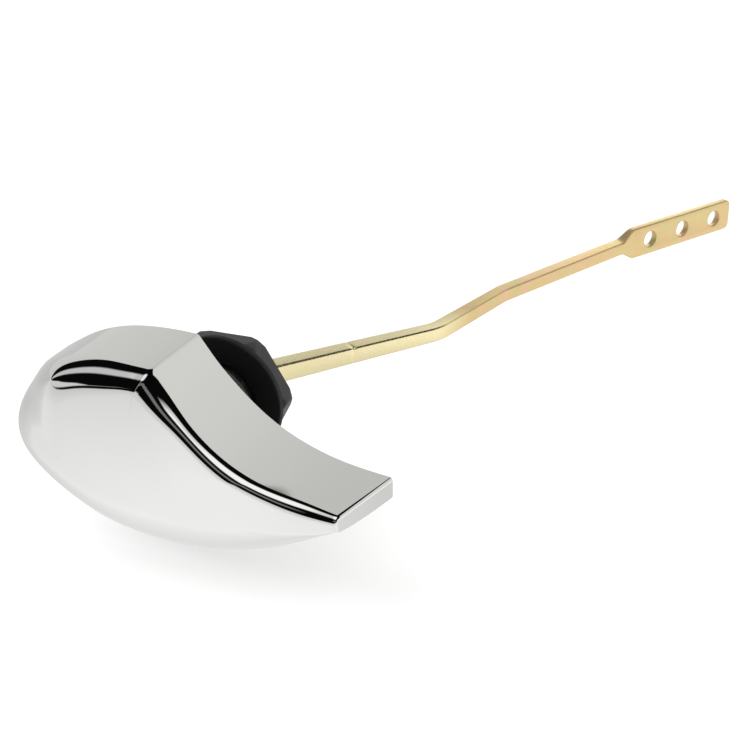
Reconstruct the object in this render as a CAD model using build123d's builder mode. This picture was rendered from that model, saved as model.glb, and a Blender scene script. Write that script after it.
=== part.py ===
"""Cistern lever: a plated paddle handle, its wall bushing, washer and nut, and the lift arm behind them.

Frame: X to the right seen from the front of the cistern, Y into the cistern along the spindle, Z up.
The origin is on the spindle's axis, on the bushing's face that seats on the cistern wall.
"""
import os
from math import cos, degrees, hypot, radians, sin, tan

from build123d import *

# Wall bushing: flange outside the wall, square shoulder in the wall's hole, shank for the nut
flange_radius = 13.0
flange_thickness = 2.5
square_side = 16.0
square_length = 4.0
square_corner = 1.5
shank_radius = 8.0
shank_end = 16.0
shank_chamfer = 0.8
journal_clearance = 0.05

# Washer and nut, standing where they clamp the wall
wall_grip = 7.2
washer_radius = 15.0
washer_thickness = 1.8
washer_clearance = 0.3
nut_across_flats = 27.0
nut_thickness = 4.2
nut_turn = 3.6
nut_chamfer = 1.0
thread_clearance = 0.08

# Paddle handle, seen from the front: the top line climbs over the lobe to the crest and runs down the
# swoosh to the tip; the belly line runs from above the lobe's end round the left and under to the tip,
# and the paddle rolls in from it at the rim to the front line at the front; the front leans out, so that the
# paddle is deepest at the crest, and handle_depth is the depth on the spindle's axis
handle_depth = 21.4
front_lean = 8.0
handle_wall = 2.6
running_gap = 0.3
edge_radius = 3.0
tip_chamfer = 0.7
front_stock = 0.1
lobe_line = [(-52.0, -10.5), (-25.3, 16.2), (-4.0, 20.7)]
lobe_tangents = [(0.53, 0.85), (1.0, 0.03)]
swoosh_line = [(3.8, 16.5), (8.0, 12.0), (18.2, 3.7), (32.0, -1.9), (56.0, -4.2)]
swoosh_tangents = [(0.62, -0.78), (1.0, -0.06)]
belly_line = [(-30.5, 18.0), (-39.8, 5.8), (-46.0, -6.2), (-37.7, -19.2), (-22.5, -29.0), (-2.0, -32.0),
              (22.0, -25.8), (39.5, -15.3), (54.0, -3.0)]
belly_tangents = [(-0.55, -0.84), (0.76, 0.65)]
front_line = [(-16.0, 8.5), (-21.5, 0.5), (-23.2, -7.0), (-20.5, -11.0), (-12.5, -13.8), (0.5, -13.9),
              (16.5, -13.0), (36.0, -9.8), (53.0, -1.4)]
roll_angles = [0.0, 10.0, 19.0, 28.0, 36.0, 44.0, 52.0, 59.0, 66.0, 72.0, 78.0, 84.0, 90.0]
blank_top = 45.0
blank_bottom = -45.0
tip_x = 48.0
tip_rake = 9.0
cavity_end_x = 33.0

# Boss and ribs inside the handle, and the bushing's stop lug that swings between two of the ribs
boss_radius = 6.5
rib_thickness = 2.2
rib_edge_depth = 5.0
free_rib_angles = [75.0, 168.0, 345.0]
lever_travel = 30.0
lug_width = 3.2
lug_inner_radius = 7.2
lug_outer_radius = 10.6
lug_length = 8.0
lug_angle = 270.0
stop_clearance = 0.3

# Lift arm: square tang in the boss, round journal in the bushing, then a tapering square bar in plan;
# the flat blade on its end is a node of its own, so that its holes keep their collision pieces to themselves
tang_side = 4.2
tang_length = 13.0
socket_clearance = 0.05
socket_end_room = 0.5
journal_radius = 3.0
bend_room = 0.3
first_corner_y = 18.0
run_lengths = [52.0, 28.5, 44.5]
headings = [0.0, 35.2, 12.0, 22.0, 27.5]
bend_radii = [5.0, 12.0, 12.0, 14.0]
bar_sides = [4.8, 4.8, 3.7, 3.4, 3.4]
blade_length = 43.0
blade_width = 8.6
blade_thickness = 2.0
blade_corner = 1.6
blade_neck = 4.0
hole_radius = 2.25
hole_count = 3
hole_pitch = 12.4
hole_end_margin = 6.2

# Stations and reaches that follow from the sizes above
rim_standoff = flange_thickness + running_gap
washer_back = wall_grip + washer_thickness
nut_back = washer_back + nut_thickness
bar_start = shank_end + bend_room
blank_right = swoosh_line[-1][0] + edge_radius
rib_reach = tip_x - lobe_line[0][0]
rim_plane = Plane.XZ.offset(rim_standoff)


def left_normals(nodes, tangents):
    """Unit normals to the left of the travel of a smooth line, at its nodes."""
    curve = Spline(*nodes, tangents=tangents)
    ways = [curve % curve.param_at_point(node) for node in nodes]
    return [(-way.Y, way.X) for way in ways]


def moved_nodes(nodes, normals, shift):
    """Nodes of a line, each moved along its own normal."""
    return [(x + nx * shift, z + nz * shift) for (x, z), (nx, nz) in zip(nodes, normals)]


def between(nodes, others, share):
    """Nodes that lie this share of the way from one line's nodes to those of another."""
    return [(x + (u - x) * share, z + (w - z) * share) for (x, z), (u, w) in zip(nodes, others)]


def tangents_meet(first, first_way, second, second_way):
    """Point where the straight lines through two places, each with its own way, meet."""
    across = first_way[0] * second_way[1] - first_way[1] * second_way[0]
    reach = ((second[0] - first[0]) * second_way[1] - (second[1] - first[1]) * second_way[0]) / across
    return first[0] + first_way[0] * reach, first[1] + first_way[1] * reach


lobe_normals = left_normals(lobe_line, lobe_tangents)
swoosh_normals = left_normals(swoosh_line, swoosh_tangents)
belly_normals = left_normals(belly_line, belly_tangents)

# One set of stations for the nodes of every section of the roll keeps its surface simple
belly_stations = [0.0]
for node, after in zip(belly_line, belly_line[1:]):
    belly_stations.append(belly_stations[-1] + hypot(after[0] - node[0], after[1] - node[1]))


def leaning_plane(reach, lean):
    """Plane this far in front of the rim on the spindle's axis, with its top leaning out to the front."""
    facing = (0.0, -cos(radians(lean)), -sin(radians(lean)))
    return Plane(origin=(0.0, -rim_standoff - reach, 0.0), x_dir=(1.0, 0.0, 0.0), z_dir=facing)


def rolled_blank(wall):
    """Paddle before its top is cut: the belly rolls in from the rim to the front, wall inside the outside.

    The roll is made of narrow straight strips, and of fewer inside, which keeps its facets few.
    """
    rim_line = moved_nodes(belly_line, belly_normals, wall)
    strip_angles = roll_angles if wall == 0.0 else roll_angles[::3]
    with BuildPart() as blank:
        for angle in strip_angles:
            share = sin(radians(angle))
            with BuildSketch(leaning_plane((handle_depth + front_stock - wall) * share, front_lean * share)):
                with BuildLine():
                    nodes = between(rim_line, front_line, 1.0 - cos(radians(angle)))
                    belly = Edge.make_spline([Vector(*node) for node in nodes], parameters=belly_stations)
                    add(belly)
                    Polyline(belly @ 1, (blank_right, (belly @ 1).Y), (blank_right, blank_top),
                             ((belly @ 0).X, blank_top), belly @ 0)
                make_face()
        loft(ruled=True)
    return blank.part


def under_top_line(wall, end_x):
    """Block under the top line, wall below it, from the rim to the front and from the far left to end_x.

    Only the outside has its edges eased.
    """
    lobe = moved_nodes(lobe_line, lobe_normals, -wall)
    swoosh = moved_nodes(swoosh_line, swoosh_normals, -wall)
    crest = tangents_meet(lobe[-1], lobe_tangents[1], swoosh[0], swoosh_tangents[0])
    end_way = (cos(radians(tip_rake)), -sin(radians(tip_rake)), 0.0)
    end_plane = Plane(origin=(end_x, -rim_standoff, 0.0), z_dir=end_way)
    with BuildPart() as block:
        with BuildSketch(rim_plane):
            with BuildLine():
                Spline(*lobe, tangents=lobe_tangents)
                Bezier(lobe[-1], crest, swoosh[0])
                Spline(*swoosh, tangents=swoosh_tangents)
                Polyline(swoosh[-1], (swoosh[-1][0], blank_bottom), (lobe[0][0], blank_bottom), lobe[0])
            make_face()
        extrude(amount=2 * handle_depth)
        split(bisect_by=leaning_plane(handle_depth - wall, front_lean), keep=Keep.BOTTOM)
        split(bisect_by=end_plane, keep=Keep.BOTTOM)
        if wall == 0.0:
            front_edges = block.faces().sort_by(Axis.Y)[0].edges()
            fillet(front_edges.filter_by(GeomType.LINE, reverse=True), edge_radius)
            end_edges = block.faces().sort_by(Axis.X)[-1].edges()
            chamfer(end_edges.sort_by(Axis.Z)[1:].sort_by(Axis.Y)[:-1], tip_chamfer)
    return block.part


with BuildPart() as cavity:
    add(rolled_blank(handle_wall))
    add(under_top_line(handle_wall, cavity_end_x), mode=Mode.INTERSECT)

# Ribs and boss end inside the wall's thickness, so that they join it
stop_offset = degrees(((lug_width + rib_thickness) / 2 + stop_clearance) / lug_inner_radius)
rib_angles = free_rib_angles + [lug_angle + stop_offset, lug_angle - stop_offset - lever_travel]
with BuildPart() as stiffening:
    with BuildSketch(rim_plane.offset(rib_edge_depth)):
        for angle in rib_angles:
            with Locations(Rotation(0.0, 0.0, angle)):
                Rectangle(rib_reach, rib_thickness, align=(Align.MIN, Align.CENTER))
    extrude(amount=2 * handle_depth)
    with BuildSketch(rim_plane):
        Circle(boss_radius)
    extrude(amount=handle_depth)
    add(rolled_blank(handle_wall / 2), mode=Mode.INTERSECT)
    add(under_top_line(handle_wall / 2, cavity_end_x + handle_wall / 2), mode=Mode.INTERSECT)

with BuildPart() as handle:
    add(rolled_blank(0.0))
    add(under_top_line(0.0, tip_x), mode=Mode.INTERSECT)
    add(cavity.part, mode=Mode.SUBTRACT)
    add(stiffening.part)
    with BuildSketch(rim_plane):
        Rectangle(tang_side + 2 * socket_clearance, tang_side + 2 * socket_clearance)
    extrude(amount=tang_length + socket_end_room, mode=Mode.SUBTRACT)

with BuildPart() as bushing:
    with BuildSketch(Plane.XZ):
        Circle(flange_radius)
    extrude(amount=flange_thickness)
    with BuildSketch(Plane.XZ):
        RectangleRounded(square_side, square_side, square_corner)
    extrude(amount=-square_length)
    with BuildSketch(Plane.XZ):
        Circle(shank_radius)
    extrude(amount=-shank_end)
    chamfer(bushing.edges().sort_by(Axis.Y)[-1], shank_chamfer)
    with BuildSketch(Plane.XZ):
        with Locations(Rotation(0.0, 0.0, lug_angle)):
            with Locations(((lug_inner_radius + lug_outer_radius) / 2, 0.0)):
                Rectangle(lug_outer_radius - lug_inner_radius, lug_width)
    extrude(amount=flange_thickness + lug_length)
    with BuildSketch(Plane.XZ.offset(flange_thickness)):
        Circle(journal_radius + journal_clearance)
    extrude(amount=-(flange_thickness + shank_end), mode=Mode.SUBTRACT)

with BuildPart() as washer:
    with BuildSketch(Plane.XZ.offset(-wall_grip)):
        Circle(washer_radius)
        Circle(shank_radius + washer_clearance, mode=Mode.SUBTRACT)
    extrude(amount=-washer_thickness)

# The nut's corners are turned off to a cone on both faces
with BuildPart() as nut_turning:
    corner_radius = nut_across_flats / 2 / cos(radians(30.0))
    with Locations(Plane.XZ.offset(-(washer_back + nut_back) / 2)):
        Cylinder(corner_radius, nut_thickness)
    chamfer(nut_turning.edges().filter_by(GeomType.CIRCLE), nut_chamfer)

with BuildPart() as nut:
    with BuildSketch(Plane.XZ.offset(-washer_back)):
        RegularPolygon(nut_across_flats / 2, 6, major_radius=False, rotation=nut_turn)
    extrude(amount=-nut_thickness)
    add(nut_turning.part, mode=Mode.INTERSECT)
    with BuildSketch(Plane.XZ.offset(-washer_back)):
        Circle(shank_radius + thread_clearance)
    extrude(amount=-nut_thickness, mode=Mode.SUBTRACT)


def way(heading):
    """Unit vector in plan for a heading measured from the spindle towards the right."""
    return Vector(sin(radians(heading)), cos(radians(heading)), 0.0)


def across(place, heading):
    """Plane across the arm at a place, facing along its heading, with its second axis upright."""
    along = way(heading)
    return Plane(origin=place, x_dir=(along.Y, -along.X, 0.0), z_dir=along)


# Corners of the arm's middle line, and how far each bend starts before its corner
corners = [Vector(0.0, first_corner_y, 0.0)]
for length, heading in zip(run_lengths, headings[1:]):
    corners.append(corners[-1] + way(heading) * length)
setbacks = []
for before, after, radius in zip(headings, headings[1:], bend_radii):
    setbacks.append(radius * tan(radians(abs(after - before)) / 2))
neck_start = corners[-1] + way(headings[-1]) * setbacks[-1]
neck_end = neck_start + way(headings[-1]) * blade_neck
blade_plane = Plane(origin=corners[-1], x_dir=way(headings[-1]), z_dir=across(neck_end, headings[-1]).x_dir)

with BuildPart() as arm:
    with BuildSketch(rim_plane):
        Rectangle(tang_side, tang_side)
    extrude(amount=tang_length)
    with BuildSketch(rim_plane):
        Circle(journal_radius)
    extrude(amount=-(rim_standoff + bar_start))
    begin = Vector(0.0, bar_start, 0.0)
    for i, corner in enumerate(corners):
        bend_start = corner - way(headings[i]) * setbacks[i]
        with BuildSketch(across(begin, headings[i])):
            Rectangle(bar_sides[i], bar_sides[i])
        with BuildSketch(across(bend_start, headings[i])):
            Rectangle(bar_sides[i + 1], bar_sides[i + 1])
        loft()
        with BuildSketch(across(bend_start, headings[i])):
            Rectangle(bar_sides[i + 1], bar_sides[i + 1])
        with BuildLine() as bend:
            JernArc(bend_start, way(headings[i]), bend_radii[i], headings[i] - headings[i + 1])
        sweep(path=bend.line)
        begin = corner + way(headings[i + 1]) * setbacks[i]

with BuildPart() as blade:
    with BuildSketch(across(neck_start, headings[-1])):
        Rectangle(bar_sides[-1], bar_sides[-1])
    with BuildSketch(across(neck_end, headings[-1])):
        Rectangle(blade_thickness, blade_width)
    loft()
    with BuildSketch(blade_plane) as plate:
        with Locations((setbacks[-1] + blade_neck, 0.0)):
            Rectangle(blade_length - setbacks[-1] - blade_neck, blade_width, align=(Align.MIN, Align.CENTER))
        fillet(plate.vertices().sort_by(Axis.X)[-2:], blade_corner)
        for hole in range(hole_count):
            with Locations((blade_length - hole_end_margin - hole * hole_pitch, 0.0)):
                Circle(hole_radius, mode=Mode.SUBTRACT)
    extrude(amount=blade_thickness / 2, both=True)

os.makedirs("parts", exist_ok=True)
nodes = {"handle": handle, "arm": arm, "blade": blade, "bushing": bushing, "washer": washer, "nut": nut}
for label, node in nodes.items():
    node.part.label = label
    export_step(node.part, "parts/" + label + ".step")
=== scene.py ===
"""Dresses the cistern lever: chromed paddle, wall bushing, washer, nut and the plated lift arm.

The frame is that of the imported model: X to the right seen from the front of the cistern, Y into the cistern
along the spindle, Z up, with the origin on the spindle where the bushing's flange seats. Sizes are written in
millimetres and turned to metres where a mesh is made.
"""
import logging
import math
from dataclasses import dataclass
from enum import Enum
from typing import Any, Optional, Sequence, Union

import bmesh
import bpy
import numpy as np
from mathutils import Matrix, Vector


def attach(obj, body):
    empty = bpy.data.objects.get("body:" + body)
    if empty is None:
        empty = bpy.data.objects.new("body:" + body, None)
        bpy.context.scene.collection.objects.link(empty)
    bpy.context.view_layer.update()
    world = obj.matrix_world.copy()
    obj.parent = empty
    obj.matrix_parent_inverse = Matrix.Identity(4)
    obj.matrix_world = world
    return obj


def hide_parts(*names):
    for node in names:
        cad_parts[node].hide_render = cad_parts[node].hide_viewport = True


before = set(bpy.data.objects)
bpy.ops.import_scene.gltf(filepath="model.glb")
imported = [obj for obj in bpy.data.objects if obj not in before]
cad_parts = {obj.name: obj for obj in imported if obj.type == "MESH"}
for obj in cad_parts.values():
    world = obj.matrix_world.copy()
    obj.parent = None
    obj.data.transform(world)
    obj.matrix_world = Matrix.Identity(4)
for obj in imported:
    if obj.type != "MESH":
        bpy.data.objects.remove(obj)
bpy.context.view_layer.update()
MM = 0.001
LOG = logging.getLogger("cistern_lever")
TINY = 1e-9
UP = np.array((0.0, 0.0, 1.0))

Point = tuple[float, float]
Place = tuple[float, float, float]
Band = tuple[float, float, float, float]
Colour = tuple[float, float, float, float]
Input = Union[float, bpy.types.NodeSocket]


class Body(Enum):
    """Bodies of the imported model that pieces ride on."""

    BUSHING = "bushing"
    LEVER = "lever"
    WASHER = "washer"
    NUT = "nut"


class Slot(Enum):
    """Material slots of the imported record."""

    CHROME = "chrome_plate"
    ZINC = "yellow_zinc"
    BLACK_PLASTIC = "black_plastic"
    RUBBER = "black_rubber"
    GREY_PLASTIC = "grey_plastic"


def linear(code: str) -> Colour:
    """Turn an sRGB hex colour into linear light.

    Args:
        code: Colour such as "#C0FFEE".

    Returns:
        Red, green, blue and alpha in linear light.
    """
    parts = [int(code[i:i + 2], 16) / 255.0 for i in (1, 3, 5)]
    red, green, blue = [p / 12.92 if p <= 0.04045 else ((p + 0.055) / 1.055) ** 2.4 for p in parts]
    return red, green, blue, 1.0


def add_node(tree: bpy.types.NodeTree, kind: str, inputs: Optional[dict[Any, Any]] = None,
             **settings: Any) -> bpy.types.Node:
    """Add one node with its settings, values and links.

    Args:
        tree: Tree that the node joins.
        kind: Type of the node.
        inputs: Value, or output socket to link, for each input by its name or number.
        settings: Attributes of the node.

    Returns:
        The new node.
    """
    node = tree.nodes.new(kind)
    for name, value in settings.items():
        setattr(node, name, value)
    for key, value in (inputs or {}).items():
        if isinstance(value, bpy.types.NodeSocket):
            tree.links.new(value, node.inputs[key])
        else:
            node.inputs[key].default_value = value
    return node


def started(name: str, metallic: float) -> tuple[bpy.types.Material, bpy.types.NodeTree, bpy.types.Node]:
    """Start a material.

    Args:
        name: Name of the material.
        metallic: 1 for bare metal, 0 for anything else.

    Returns:
        The material, its tree and its shader.
    """
    made = bpy.data.materials.new(name)
    made.use_nodes = True
    shader = made.node_tree.nodes["Principled BSDF"]
    shader.inputs["Metallic"].default_value = metallic
    return made, made.node_tree, shader


def noise(tree: bpy.types.NodeTree, place: bpy.types.NodeSocket, size: float, detail: float,
          **shape: float) -> bpy.types.NodeSocket:
    """Add a noise pattern whose blotches have a size in millimetres, and give its value."""
    inputs = {"Vector": place, "Scale": 1.0 / (size * MM), "Detail": detail, **shape}
    return add_node(tree, "ShaderNodeTexNoise", inputs).outputs["Fac"]


def spread(tree: bpy.types.NodeTree, value: Input, limits: Point,
           source: Point = (0.0, 1.0)) -> bpy.types.NodeSocket:
    """Spread a value that runs between the two ends of a source between two limits."""
    inputs = dict(zip(("From Min", "From Max", "To Min", "To Max"), source + limits))
    return add_node(tree, "ShaderNodeMapRange", {"Value": value, **inputs}).outputs[0]


def mixed(tree: bpy.types.NodeTree, share: Input, first: Any, second: Any,
          colours: bool = False) -> bpy.types.NodeSocket:
    """Mix two values or two colours.

    Args:
        tree: Tree that the node joins.
        share: Share of the second.
        first: First value or colour.
        second: Second value or colour.
        colours: Whether they are colours.

    Returns:
        The mixture.
    """
    # The node has sockets for every kind of data, and those for colours come after those for values
    before, after, result = (6, 7, 2) if colours else (2, 3, 0)
    inputs = {0: share, before: first, after: second}
    return add_node(tree, "ShaderNodeMix", inputs, data_type="RGBA" if colours else "FLOAT").outputs[result]


def ramp(tree: bpy.types.NodeTree, value: Input, stops: Sequence[tuple[float, str]]) -> bpy.types.NodeSocket:
    """Turn a value into a colour.

    Args:
        tree: Tree that the node joins.
        value: Value between 0 and 1.
        stops: Values and their colours.

    Returns:
        The colour.
    """
    node = add_node(tree, "ShaderNodeValToRGB", {"Fac": value})
    elements = node.color_ramp.elements
    for i, (place, code) in enumerate(stops):
        stop = elements[i] if i < 2 else elements.new(place)
        stop.position, stop.color = place, linear(code)
    return node.outputs["Color"]


def bumped(tree: bpy.types.NodeTree, shader: bpy.types.Node, height: Input, strength: float,
           depth: float) -> None:
    """Roughen a shader by a pattern of heights with a depth in millimetres."""
    bump = add_node(tree, "ShaderNodeBump", {"Height": height, "Strength": strength, "Distance": depth * MM})
    tree.links.new(bump.outputs["Normal"], shader.inputs["Normal"])


def reckoned(tree: bpy.types.NodeTree, operation: str, *values: Input) -> bpy.types.NodeSocket:
    """Reckon with values or sockets, and give the result."""
    return add_node(tree, "ShaderNodeMath", dict(enumerate(values)), operation=operation).outputs[0]


def growing_tree(name: str, base: str, sizes: Sequence[str]) -> tuple[bpy.types.NodeTree, bpy.types.Node]:
    """Start a geometry tree.

    Args:
        name: Name of the tree.
        base: Name of its geometry input.
        sizes: Names of its number inputs.

    Returns:
        The tree and the node that gives its inputs.
    """
    tree = bpy.data.node_groups.new(name, "GeometryNodeTree")
    tree.interface.new_socket(base, in_out="INPUT", socket_type="NodeSocketGeometry")
    for size in sizes:
        tree.interface.new_socket(size, in_out="INPUT", socket_type="NodeSocketFloat")
    tree.interface.new_socket("Made", in_out="OUTPUT", socket_type="NodeSocketGeometry")
    return tree, add_node(tree, "NodeGroupInput")


def end_tree(tree: bpy.types.NodeTree, geometry: bpy.types.NodeSocket, material: bpy.types.Material) -> None:
    """End a geometry tree with real geometry in its material.

    Args:
        tree: Tree to end.
        geometry: What it has made.
        material: Material of that geometry.
    """
    real = add_node(tree, "GeometryNodeRealizeInstances", {"Geometry": geometry}).outputs["Geometry"]
    dressed = add_node(tree, "GeometryNodeSetMaterial", {"Geometry": real, "Material": material})
    add_node(tree, "NodeGroupOutput", {"Made": dressed.outputs["Geometry"]})


class SmoothLine:
    """Natural cubic through nodes, run along by the chord length of their first two columns."""

    def __init__(self, nodes: np.ndarray) -> None:
        """Solve the cubic.

        Args:
            nodes: One row for each node.
        """
        steps = np.hypot(*np.diff(nodes[:, :2], axis=0).T)
        self.nodes = nodes
        self.stations = np.concatenate(([0.0], np.cumsum(steps)))
        count = len(nodes)
        system, right = np.eye(count), np.zeros_like(nodes)
        for i in range(1, count - 1):
            before, after = steps[i - 1], steps[i]
            system[i, i - 1:i + 2] = before, 2.0 * (before + after), after
            right[i] = 6.0 * ((nodes[i + 1] - nodes[i]) / after - (nodes[i] - nodes[i - 1]) / before)
        self.bends = np.linalg.solve(system, right)

    def at(self, places: np.ndarray) -> np.ndarray:
        """Rows of the line at places along it.

        Args:
            places: Stations in the unit of the nodes.

        Returns:
            One row for each place.
        """
        i = np.clip(np.searchsorted(self.stations, places) - 1, 0, len(self.nodes) - 2)
        step = (self.stations[i + 1] - self.stations[i])[:, None]
        b = (places - self.stations[i])[:, None] / step
        a = 1.0 - b
        bow = ((a ** 3 - a) * self.bends[i] + (b ** 3 - b) * self.bends[i + 1]) * step ** 2 / 6.0
        return a * self.nodes[i] + b * self.nodes[i + 1] + bow

    def inward(self, places: np.ndarray) -> np.ndarray:
        """Unit normals to the left of the travel.

        Args:
            places: Stations in the unit of the nodes.

        Returns:
            One two-part normal for each place.
        """
        ahead = np.clip(places + 0.01, 0.0, self.stations[-1])
        behind = np.clip(places - 0.01, 0.0, self.stations[-1])
        way = (self.at(ahead) - self.at(behind))[:, :2]
        way /= np.linalg.norm(way, axis=1)[:, None]
        return np.column_stack((-way[:, 1], way[:, 0]))


class Skin:
    """Points in millimetres and faces of one mesh while it is being built."""

    def __init__(self) -> None:
        """Start with nothing."""
        self.points: list[np.ndarray] = []
        self.marks: list[np.ndarray] = []
        self.faces: list[list[int]] = []
        self.total = 0

    def add(self, points: np.ndarray, mark: Any = 0.0) -> np.ndarray:
        """Add points.

        Args:
            points: Array whose last axis holds x, y and z.
            mark: Value of the attribute inside at these points, one for all or one for each.

        Returns:
            Their numbers, in the shape of the array without its last axis.
        """
        flat = np.asarray(points, dtype=float).reshape(-1, 3)
        numbers = np.arange(self.total, self.total + len(flat)).reshape(np.shape(points)[:-1])
        self.points.append(flat)
        self.marks.append(np.broadcast_to(np.ravel(mark), len(flat)))
        self.total += len(flat)
        return numbers

    def grid(self, numbers: np.ndarray, round_rows: bool = False, round_columns: bool = False) -> None:
        """Cover a grid of points with quads.

        Args:
            numbers: Point numbers, rows by columns.
            round_rows: Whether the last row joins the first.
            round_columns: Whether the last column joins the first.
        """
        rows = np.vstack((numbers, numbers[:1])) if round_rows else numbers
        both = np.hstack((rows, rows[:, :1])) if round_columns else rows
        quads = np.stack((both[:-1, :-1], both[1:, :-1], both[1:, 1:], both[:-1, 1:]), axis=-1)
        self.faces.extend(quads.reshape(-1, 4).tolist())

    def cap(self, numbers: Sequence[int]) -> None:
        """Close a flat loop of points with one face."""
        self.faces.append([int(n) for n in numbers])

    def tube(self, rows: np.ndarray, mark: float = 0.0) -> None:
        """Add a tube with closed ends.

        Args:
            rows: Loops of points from one end to the other.
            mark: Value of the attribute inside at these points.
        """
        numbers = self.add(rows, mark)
        self.grid(numbers, round_columns=True)
        self.cap(numbers[0])
        self.cap(numbers[-1])

    def mesh(self, name: str) -> bpy.types.Mesh:
        """Turn the skin into a mesh in metres, with its doubles merged and its faces outward.

        Args:
            name: Name of the mesh.

        Returns:
            The new mesh.
        """
        mesh = bpy.data.meshes.new(name)
        mesh.from_pydata((np.vstack(self.points) * MM).tolist(), [], self.faces)
        mesh.attributes.new("inside", "FLOAT", "POINT").data.foreach_set("value", np.concatenate(self.marks))
        work = bmesh.new()
        work.from_mesh(mesh)
        bmesh.ops.remove_doubles(work, verts=work.verts, dist=1e-7)
        bmesh.ops.dissolve_degenerate(work, edges=work.edges, dist=1e-8)
        bmesh.ops.recalc_face_normals(work, faces=work.faces)
        work.to_mesh(mesh)
        work.free()
        return mesh


def settle(mesh: bpy.types.Mesh, nodes: Sequence[str], body: Body, material: bpy.types.Material,
           sharp: float = 32.0) -> bpy.types.Object:
    """Make a finished mesh the piece that stands for one or more nodes.

    Args:
        mesh: Mesh in its place.
        nodes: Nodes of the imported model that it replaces, the first of which names it.
        body: Body that it rides on.
        material: Its material.
        sharp: Edges that turn by more degrees than this stay sharp.

    Returns:
        The piece.
    """
    mesh.materials.clear()
    mesh.materials.append(material)
    mesh.polygons.foreach_set("material_index", [0] * len(mesh.polygons))
    mesh.shade_smooth()
    mesh.set_sharp_from_angle(angle=math.radians(sharp))
    piece = bpy.data.objects.new(nodes[0] + "_dressed", mesh)
    bpy.context.scene.collection.objects.link(piece)
    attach(piece, body.value)
    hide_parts(*nodes)
    LOG.info("%s: %d faces on %s", piece.name, len(mesh.polygons), body.value)
    return piece


def join(meshes: Sequence[bpy.types.Mesh], name: str) -> bpy.types.Mesh:
    """Put several meshes into one.

    Args:
        meshes: Meshes to take, which are removed afterwards.
        name: Name of the new mesh.

    Returns:
        The joined mesh.
    """
    work = bmesh.new()
    for mesh in meshes:
        work.from_mesh(mesh)
    joined = bpy.data.meshes.new(name)
    work.to_mesh(joined)
    work.free()
    for mesh in meshes:
        bpy.data.meshes.remove(mesh)
    return joined


def grown(tree: bpy.types.NodeTree, base: bpy.types.Mesh, sizes: dict[str, float],
          name: str) -> bpy.types.Mesh:
    """Run a geometry tree on a base mesh and keep what it makes.

    Args:
        tree: Geometry tree.
        base: Mesh that the tree starts from, removed afterwards.
        sizes: Value for each named input of the tree.
        name: Name of the new mesh.

    Returns:
        The evaluated mesh.
    """
    carrier = bpy.data.objects.new(name + "_carrier", base)
    bpy.context.scene.collection.objects.link(carrier)
    modifier = carrier.modifiers.new(tree.name, "NODES")
    modifier.node_group = tree
    for socket in tree.interface.items_tree:
        if socket.in_out == "INPUT" and socket.name in sizes:
            modifier[socket.identifier] = sizes[socket.name]
    evaluated = carrier.evaluated_get(bpy.context.evaluated_depsgraph_get())
    mesh = bpy.data.meshes.new_from_object(evaluated)
    mesh.name = name
    carrier.modifiers.clear()
    bpy.data.objects.remove(carrier)
    bpy.data.meshes.remove(base)
    return mesh


def ring(radius: float, y: float, count: int) -> np.ndarray:
    """Points of a circle about the spindle.

    Args:
        radius: Radius in millimetres.
        y: Station along the spindle.
        count: Number of points.

    Returns:
        One row for each point.
    """
    turn = np.linspace(0.0, 2.0 * math.pi, count, endpoint=False)
    return np.column_stack((radius * np.cos(turn), np.full(count, y), radius * np.sin(turn)))


def turned(skin: Skin, profile: Sequence[Point], count: int = 96) -> None:
    """Add a closed ring turned about the spindle to a skin.

    Args:
        skin: Skin that takes it.
        profile: Closed profile as radius and station.
        count: Steps round the spindle.
    """
    rows = np.stack([ring(r, y, count) for r, y in profile])
    skin.grid(skin.add(rows), round_rows=True, round_columns=True)


def smooth_step(share: Any) -> Any:
    """Ease a share between 0 and 1 in and out."""
    return share * share * (3.0 - 2.0 * share)


def rounded_box(width: float, height: float, corner: float, steps: int = 5) -> np.ndarray:
    """Closed outline of a box about the origin, with rounded corners.

    Args:
        width: Size along the first axis.
        height: Size along the second axis.
        corner: Radius of the corners.
        steps: Points on each corner.

    Returns:
        One two-part row for each point.
    """
    reach = np.array((width, height)) / 2.0 - corner
    turn = np.linspace(0.0, math.pi / 2.0, steps)
    arcs = []
    for quarter, signs in enumerate(((1, 1), (-1, 1), (-1, -1), (1, -1))):
        way = turn + quarter * math.pi / 2.0
        arcs.append(reach * signs + corner * np.column_stack((np.cos(way), np.sin(way))))
    return np.vstack(arcs)


def ring_profile(inner: float, outer: float, start: float, end: float, edge: float,
                 steps: int = 5) -> np.ndarray:
    """Closed profile, as radius and station, of a flat ring whose four edges are rounded."""
    return rounded_box(outer - inner, end - start, edge, steps) + ((inner + outer) / 2.0, (start + end) / 2.0)


def eased(profile: Sequence[Point], radius: float, steps: int = 4, most: float = 0.45) -> np.ndarray:
    """Round the corners of a closed profile.

    Args:
        profile: Corners of the profile.
        radius: How far from each corner its rounding starts, at most.
        steps: Points on each corner.
        most: Largest share of a side that one rounding takes.

    Returns:
        One two-part row for each point.
    """
    spots = np.array(profile)
    found = []
    for spot, before, after in zip(spots, np.roll(spots, 1, axis=0), np.roll(spots, -1, axis=0)):
        back, ahead = [way * min(radius / max(np.linalg.norm(way), TINY), most)
                       for way in (before - spot, after - spot)]
        for share in np.linspace(0.0, 1.0, steps):
            found.append(spot + back * (1.0 - share) ** 2 + ahead * share ** 2)
    return np.array(found)


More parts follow.
